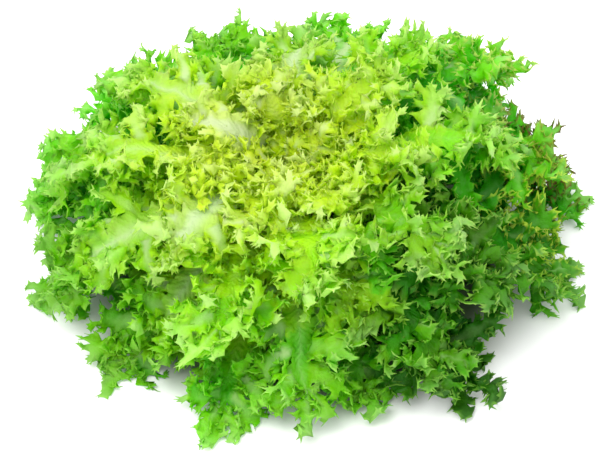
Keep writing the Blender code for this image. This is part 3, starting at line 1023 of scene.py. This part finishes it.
def band_rows(lobes):
    stalk = [2 * i / STALK_ROWS for i in range(STALK_ROWS)]
    return stalk + [2 + i / ROWS_A_LOBE for i in range(lobes * ROWS_A_LOBE + 1)]


def margin_root(sheet, rows, spots, row, side, reach, angle):
    """The root of a lobe on the band's margin beside a row of the rule, and the spot that it grows from."""
    start = STALK_ROWS + (row - 2) * ROWS_A_LOBE
    first, last = (start + offset for offset in reach)
    root = side_edge(rows, side, first, last)
    return root, root_spot(sheet, root, spots[(first + last) // 2], side * angle)


def grow_side(sheet, rows, spots, lobe, cut, blade):
    """One lobe of the rule on the band's margin."""
    root, at = margin_root(sheet, rows, spots, lobe.row, lobe.side, LOBE_ROOT, lobe.angle)
    reach = sheet.reach * lobe.length + (1 - sheet.web) * blade
    roll = lobe.side * 2 * lobe.twist
    grow_lobe(sheet, root, turned(at, pitch=lobe.tilt), reach, roll, cut, 1 + sheet.pale)


def slimmed(cut, share):
    return cut._replace(neck=share * cut.neck, body=share * cut.body)


def grow_end(sheet, row, spot, length, cut):
    """A leaf's end: three slim lobes side by side, with the longest in the middle."""
    rng = sheet.rng
    slim = slimmed(cut, END_SLIM)
    for first, turn, share in ((0, -END_SPREAD, END_SIDE), (2, 0, 1.0), (4, END_SPREAD, END_SIDE)):
        root = row[first : first + 3]
        turn += rng.uniform(-END_JITTER, END_JITTER)
        at = root_spot(sheet, root, spot, turn, rng.uniform(-END_LIFT, END_LIFT))
        grow_lobe(sheet, root, at, share * length, 0, slim)


def shade_round_head(azimuth, whorl):
    """How deep a green the leaves on that side of the head are: partly their own colour, partly painted
    shade.
    """
    return with_humps(LEAST_DARK, azimuth, DARK_GREEN_AND_SHADED_SIDES) * DARK_WHORLS[whorl.name]


def leaf_rib(whorl, index, rng):
    """The rib of one leaf of a whorl by the rule, and its azimuth."""
    turn = whorl.turn + 360 * index / whorl.count + rng.uniform(-TURN_JITTER, TURN_JITTER)
    azimuth = math.radians(turn)
    reach = HEAD_RADIUS * whorl.tip_reach * reach_round_head(azimuth) * rng.uniform(*REACH_JITTER)
    height = HEAD_HEIGHT * whorl.tip_height * lift_round_head(azimuth)
    height += rng.uniform(-HEIGHT_JITTER, HEIGHT_JITTER)
    end = Vector((reach, max(FLOOR_CLEARANCE, height)))
    sway = rng.uniform(-SWAY_JITTER, SWAY_JITTER)
    return Rib(rib_handles(seat_point(whorl), end, whorl.rise, whorl.fall), azimuth, sway), azimuth


def leaf_sheet(name, seed):
    """A new sheet, with what is special about a leaf of that name."""
    sheet = Sheet(seed)
    if name in BROAD_LEAVES:
        sheet.web, sheet.pale, sheet.lift = BROAD_LEAVES[name]
    sheet.reach *= LONG_LOBES.get(name, 1.0)
    return sheet


def grow_frills(sheet, rows, spots, whorl, cut):
    """Slim lobes between those of the rule, which stand up and lean over the rib."""
    rng = sheet.rng
    slim = slimmed(cut, FRILL_SLIM)
    for row in range(2 + HIDDEN_ROWS.get(whorl.name, 0), whorl.lobes + 2):
        for side in (-1, 1):
            size = whorl.lobe * rng.uniform(*FRILL_SIZE)
            # The last row has no room for them
            if row <= whorl.lobes:
                angle = rng.uniform(*FRILL_TURN)
                root, at = margin_root(sheet, rows, spots, row, side, FRILL_ROOT, angle)
                grow_lobe(sheet, root, turned(at, pitch=rng.uniform(*FRILL_LIFT)), size, 0, slim)


def grow_leaf(whorl, index, seed):
    name = f"{whorl.name}_{index + 1:02d}"
    rng = random.Random(seed)
    rib, azimuth = leaf_rib(whorl, index, rng)
    solid = Solid(name)
    tip = tip_on(solid, rib, whorl, rng)
    lobes = [lobe_on(solid, rib, whorl, i, side, rng) for i in range(whorl.lobes) for side in (-1, 1)]
    sheet = leaf_sheet(name, seed)
    cut = CUTS[whorl.name]
    rows, spots = grow_band(sheet, rib, whorl, band_rows(whorl.lobes), LEAF_WAVE)
    for lobe in lobes:
        if lobe:
            grow_side(sheet, rows, spots, lobe, cut, whorl.half_blade)
    if name not in BROAD_LEAVES:
        grow_frills(sheet, rows, spots, whorl, cut)
    length, droop = tip or (TIP_LENGTH * whorl.lobe, 0)
    end = turned(spots[-1], pitch=math.degrees(math.atan(droop)))
    grow_end(sheet, rows[-1], end, TIP_REACH * length, cut)
    shade = shade_round_head(azimuth, whorl) + sheet.rng.uniform(-DARK_JITTER, DARK_JITTER)
    sheet.shade = min(1.0, max(0.0, shade))
    crumple(sheet, 1 + DARK_CRUMPLE * sheet.shade)
    return name, sheet


# The heart


def leaflet_rib(ring, azimuth, length, rng):
    rise = ring.rise + rng.uniform(-LEAFLET_RISE, LEAFLET_RISE)
    start = Vector((ring.radius, CROWN_TOP_Z - LEAFLET_SINK))
    end = start + slope(rise) * length + Vector((ring.lean * 0.5 * length, 0))
    handles = rib_handles(start, end, ring.rise + LEAFLET_START, -rng.uniform(*LEAFLET_FALL))
    return Rib(handles, azimuth, rng.uniform(-LEAFLET_SWAY, LEAFLET_SWAY))


def leaflet_lobe(ring, index, side, rng):
    share = row_share(index + 2, ring.lobes)
    size = lobe_length(share, ring.lobe) * rng.uniform(*LEAFLET_LOBE_SIZE)
    tilt = rng.uniform(-LEAFLET_LOBE_TILT, LEAFLET_LOBE_TILT)
    twist = rng.uniform(-LEAFLET_LOBE_TWIST, LEAFLET_LOBE_TWIST)
    return Lobe(index + 2, side, lobe_angle(share), tilt, twist, size)


def grow_leaflet(sheet, ring, azimuth, length):
    """One small leaf of the heart, standing on the crown and curling out at its tip."""
    rib = leaflet_rib(ring, azimuth, length, sheet.rng)
    slim = Whorl("heart", 0, 0, 0, 0, 0, 0, 0, *LEAFLET_HALVES, ring.lobe, ring.lobes)
    rows, spots = grow_band(sheet, rib, slim, band_rows(ring.lobes), LEAFLET_WAVE)
    cut = CUTS["heart"]
    for index in range(ring.lobes):
        for side in (-1, 1):
            lobe = leaflet_lobe(ring, index, side, sheet.rng)
            grow_side(sheet, rows, spots, lobe, cut, slim.half_blade)
    grow_lobe(sheet, rows[-1], spots[-1], ring.lobe, 0, cut)


def grow_heart():
    sheet = Sheet(HEART_SEED)
    for ring in HEART_RINGS:
        for index in range(ring.count):
            turn = ring.turn + 360 * index / ring.count + sheet.rng.uniform(-LEAFLET_TURN, LEAFLET_TURN)
            length = ring.length * sheet.rng.uniform(*LEAFLET_LENGTH)
            grow_leaflet(sheet, ring, math.radians(turn), length)
    crumple(sheet, HEART_CRUMPLE)
    return sheet


# Materials


def feed(tree, socket, value):
    """Links an input to another node's output, or sets it to a number or a colour."""
    if isinstance(value, bpy.types.NodeSocket):
        tree.links.new(value, socket)
    else:
        socket.default_value = value


def fill(tree, made, **inputs):
    """Feeds a node's inputs, called by their names with _ for spaces."""
    for key, value in inputs.items():
        feed(tree, made.inputs[key.replace("_", " ")], value)
    return made


def node(tree, kind, **inputs):
    return fill(tree, tree.nodes.new(kind), **inputs)


def read_value(tree, name):
    made = node(tree, "ShaderNodeAttribute")
    made.attribute_name = name
    return made.outputs["Fac"]


def mixed(tree, factor, first, second):
    made = node(tree, "ShaderNodeMix")
    made.data_type = "RGBA"
    for index, value in ((0, factor), (6, first), (7, second)):
        feed(tree, made.inputs[index], value)
    return made.outputs[2]


def spread(tree, value, low, high, to_low=0.0, to_high=1.0):
    """A value mapped from one range to another, smoothly and within it."""
    made = node(tree, "ShaderNodeMapRange", Value=value, From_Min=low, From_Max=high)
    made.interpolation_type = "SMOOTHSTEP"
    fill(tree, made, To_Min=to_low, To_Max=to_high)
    return made.outputs["Result"]


def noise_value(tree, scale, detail=3.0, roughness=0.55):
    where = node(tree, "ShaderNodeTexCoord").outputs["Object"]
    made = node(tree, "ShaderNodeTexNoise", Vector=where, Scale=scale, Detail=detail, Roughness=roughness)
    return made.outputs["Fac"]


def math_node(tree, operation, first, second=0.0):
    made = node(tree, "ShaderNodeMath")
    made.operation = operation
    feed(tree, made.inputs[0], first)
    feed(tree, made.inputs[1], second)
    return made.outputs[0]


def nearness(tree, place, reach, inner=0.3):
    """1 round a place, up to a share of its reach, and 0 beyond its reach."""
    away = node(tree, "ShaderNodeVectorMath")
    away.operation = "DISTANCE"
    feed(tree, away.inputs[0], node(tree, "ShaderNodeTexCoord").outputs["Object"])
    feed(tree, away.inputs[1], place)
    return spread(tree, away.outputs["Value"], inner * reach, reach, 1.0, 0.0)


def bumped(tree, height, bump, **normal):
    """A normal with bumps of one strength and height on it."""
    strength, distance = bump
    made = node(tree, "ShaderNodeBump", Height=height, Strength=strength, Distance=distance, **normal)
    return made.outputs["Normal"]


def marked(tree, blade, mark):
    """The blade's colour with the tooth edges at one place on the head turned to the mark's."""
    edge = spread(tree, read_value(tree, "edge"), *MARKED_EDGE, 0.0, mark.strength)
    share = math_node(tree, "MULTIPLY", edge, nearness(tree, mark.place, mark.reach))
    return mixed(tree, share, blade, mark.colour)


def leaf_green(tree, dress):
    """Green that turns with the distance from the heart, deeper in patches, with painted shade deep inside
    the head and painted light at its surface, and flecks.
    """
    outward, depth = read_value(tree, "outward"), read_value(tree, "depth")
    green = mixed(tree, spread(tree, outward, dress.start, dress.end), dress.near, dress.far)
    deep = mixed(tree, spread(tree, outward, *HEART_EDGE), HEART_PATCH_AND_SHADE_GREEN, dress.deep)
    green = mixed(tree, spread(tree, noise_value(tree, PATCH_SCALE), *PATCH_TURN), green, deep)
    green = mixed(tree, spread(tree, depth, *PAINTED_SHADE_TURN), green, deep)
    green = mixed(tree, spread(tree, depth, *PAINTED_LIGHT_TURN), green, dress.rib)
    return mixed(tree, spread(tree, noise_value(tree, FLECK_SCALE), *FLECK_TURN), green, dress.rib)


def leaf_colour(tree, dress):
    """The green with its dark sides, partly painted shade, light tooth edges, marks and pale veins."""
    colour = mixed(tree, read_value(tree, "shade"), leaf_green(tree, dress), dress.shade)
    colour = mixed(tree, spread(tree, read_value(tree, "edge"), *EDGE_TURN), colour, dress.edge)
    for mark in MARKS:
        colour = marked(tree, colour, mark)
    return mixed(tree, spread(tree, read_value(tree, "vein"), *VEIN_TURN), colour, dress.rib)


def leaf_normal(tree):
    """Fine lines that sway a little, and soft folds over them."""
    sway = math_node(tree, "MULTIPLY", noise_value(tree, SWAY_SCALE), LINE_SWAY)
    turn = math_node(tree, "ADD", read_value(tree, "across"), sway)
    lines = bumped(tree, math_node(tree, "SINE", turn), LINE_BUMP)
    return bumped(tree, noise_value(tree, FOLD_SCALE, FOLD_DETAIL), FOLD_BUMP, Normal=lines)


def new_material(name):
    made = bpy.data.materials.new(name)
    made.use_nodes = True
    return made, made.node_tree, made.node_tree.nodes["Principled BSDF"]


def leaf_material(name, dress):
    """Leaf skin with a slight gloss, which lets much of the light through."""
    made, tree, skin = new_material(f"{name}_skin")
    colour, normal = leaf_colour(tree, dress), leaf_normal(tree)
    fill(tree, skin, Base_Color=colour, Normal=normal)
    fill(tree, skin, Roughness=SKIN_ROUGHNESS, Specular_IOR_Level=SKIN_GLOSS)
    through = node(tree, "ShaderNodeBsdfTranslucent", Color=colour, Normal=normal)
    both = node(tree, "ShaderNodeMixShader")
    for index, value in enumerate((LIGHT_THROUGH, skin.outputs[0], through.outputs[0])):
        feed(tree, both.inputs[index], value)
    feed(tree, tree.nodes["Material Output"].inputs["Surface"], both.outputs[0])
    return made


def crown_material():
    """The cut stem's pale, slightly rough flesh, browner in places."""
    made, tree, flesh = new_material("cut_stem_skin")
    patches = spread(tree, noise_value(tree, STEM_PATCH_SCALE), *STEM_PATCH_TURN)
    grain = bumped(tree, noise_value(tree, STEM_GRAIN_SCALE), STEM_BUMP)
    fill(tree, flesh, Base_Color=mixed(tree, patches, STEM_PALE, STEM_BROWN))
    fill(tree, flesh, Roughness=STEM_ROUGHNESS, Normal=grain)
    return made


# The stage


def floor_material():
    """White, with a glow of painted light, but with painted shade and no glow beneath the head."""
    made, tree, surface = new_material("floor_white")
    painted_shade = nearness(tree, PAINTED_SHADE_MIDDLE, PAINTED_SHADE_REACH, PAINTED_SHADE_INNER)
    fill(tree, surface, Base_Color=mixed(tree, painted_shade, FLOOR_PALE, FLOOR_PAINTED_SHADE), Roughness=FLOOR_ROUGHNESS)
    fill(tree, surface, Emission_Color=mixed(tree, painted_shade, WHITE, BLACK), Emission_Strength=FLOOR_GLOW)
    return made


def add_floor():
    size = FLOOR_HALF
    mesh = bpy.data.meshes.new("floor")
    corners = [(-size, -size, 0), (size, -size, 0), (size, size, 0), (-size, size, 0)]
    mesh.from_pydata(corners, [], [(0, 1, 2, 3)])
    mesh.materials.append(floor_material())
    new_object("floor", mesh)


def add_light(name, place, size, power):
    light = bpy.data.lights.new(name, "AREA")
    light.size = size
    light.energy = power
    made = new_object(name, light)
    made.location = place
    made.rotation_euler = (Vector(LIGHT_TARGET) - Vector(place)).to_track_quat("-Z", "Y").to_euler()


def add_stage():
    scene = bpy.context.scene
    scene.view_settings.view_transform = "Standard"
    world = bpy.data.worlds.new("white_room")
    world.use_nodes = True
    fill(world.node_tree, world.node_tree.nodes["Background"], Color=WHITE, Strength=ROOM_LIGHT)
    scene.world = world
    add_floor()
    for light in LIGHTS:
        add_light(*light)


def add_camera():
    camera = new_object("camera", bpy.data.cameras.new("camera"))
    camera.data.lens = CAMERA_LENS
    rise = math.radians(CAMERA_ELEVATION)
    away = Vector((0, -math.cos(rise), math.sin(rise)))
    camera.location = Vector(CAMERA_TARGET) + away * CAMERA_DISTANCE
    camera.rotation_euler = (-away).to_track_quat("-Z", "Y").to_euler()
    bpy.context.scene.camera = camera


def main():
    noise.seed_set(NOISE_SEED)
    add_stage()
    add_camera()
    materials = {name: leaf_material(name, dress) for name, dress in DRESSES.items()}
    grown = [("heart", "heart", grow_heart())]
    for whorl in WHORLS:
        for index in range(whorl.count):
            grown.append((whorl.name, *grow_leaf(whorl, index, LEAF_SEED + len(grown) - 1)))
    reach = reach_of([sheet for kind, name, sheet in grown])
    for kind, name, sheet in grown:
        made = leaf_object(f"{name}_fine", sheet, materials[kind], reach)
        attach(made, "root")
        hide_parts(name)
    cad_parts["crown"].data.materials.clear()
    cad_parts["crown"].data.materials.append(crown_material())


main()
